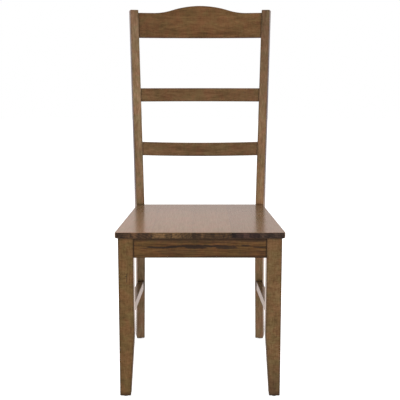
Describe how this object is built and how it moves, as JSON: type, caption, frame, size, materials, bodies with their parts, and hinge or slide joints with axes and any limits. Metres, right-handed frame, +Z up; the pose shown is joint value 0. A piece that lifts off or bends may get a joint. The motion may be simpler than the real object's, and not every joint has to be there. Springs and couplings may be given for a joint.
{
  "type": "ladderback chair",
  "caption": "Wooden ladderback dining chair with a camel-back crest rail, bowed slats, flat board seat, tapered front legs and side stretchers.",
  "frame": {"origin": "on the floor under the middle of the chair's bounding box", "axes": "+Z up from the floor through the seat to the crest rail, +X to the right of the chair as seen from its front, -Y the way the chair faces"},
  "size_m": [0.4558, 0.5566, 1.0825],
  "materials": {
    "post_wood": "clear lacquer",
    "crest_wood": "clear lacquer",
    "slat_wood": "clear lacquer",
    "leg_wood": "clear lacquer",
    "apron_wood": "clear lacquer",
    "stretcher_wood": "clear lacquer",
    "seat_dark_wood": "clear lacquer",
    "seat_brown_wood": "clear lacquer",
    "seat_light_wood": "clear lacquer",
    "block_wood": "bare",
    "dowel_wood": "bare",
    "screw_steel": "zinc plated",
    "nail_steel": "bright",
    "glide_plastic": "moulded"
  },
  "bodies": {
    "root": {"left_back_post": "post_wood", "right_back_post": "post_wood", "crest_rail": "crest_wood", "upper_slat": "slat_wood", "lower_slat": "slat_wood", "seat_board_far_left": "seat_brown_wood", "seat_board_left": "seat_light_wood", "seat_board_centre": "seat_brown_wood", "seat_board_right": "seat_dark_wood", "seat_board_far_right": "seat_dark_wood", "front_apron": "apron_wood", "rear_apron": "apron_wood", "left_apron": "apron_wood", "right_apron": "apron_wood", "left_front_leg": "leg_wood", "right_front_leg": "leg_wood", "left_stretcher": "stretcher_wood", "right_stretcher": "stretcher_wood", "front_left_block": "block_wood", "front_right_block": "block_wood", "rear_left_block": "block_wood", "rear_right_block": "block_wood", "block_screws": "screw_steel", "seat_screws": "screw_steel", "front_apron_dowels": "dowel_wood", "rear_apron_dowels": "dowel_wood", "side_apron_dowels": "dowel_wood", "front_left_glide": "glide_plastic", "front_right_glide": "glide_plastic", "rear_left_glide": "glide_plastic", "rear_right_glide": "glide_plastic", "glide_nails": "nail_steel"}
  },
  "joints": []
}
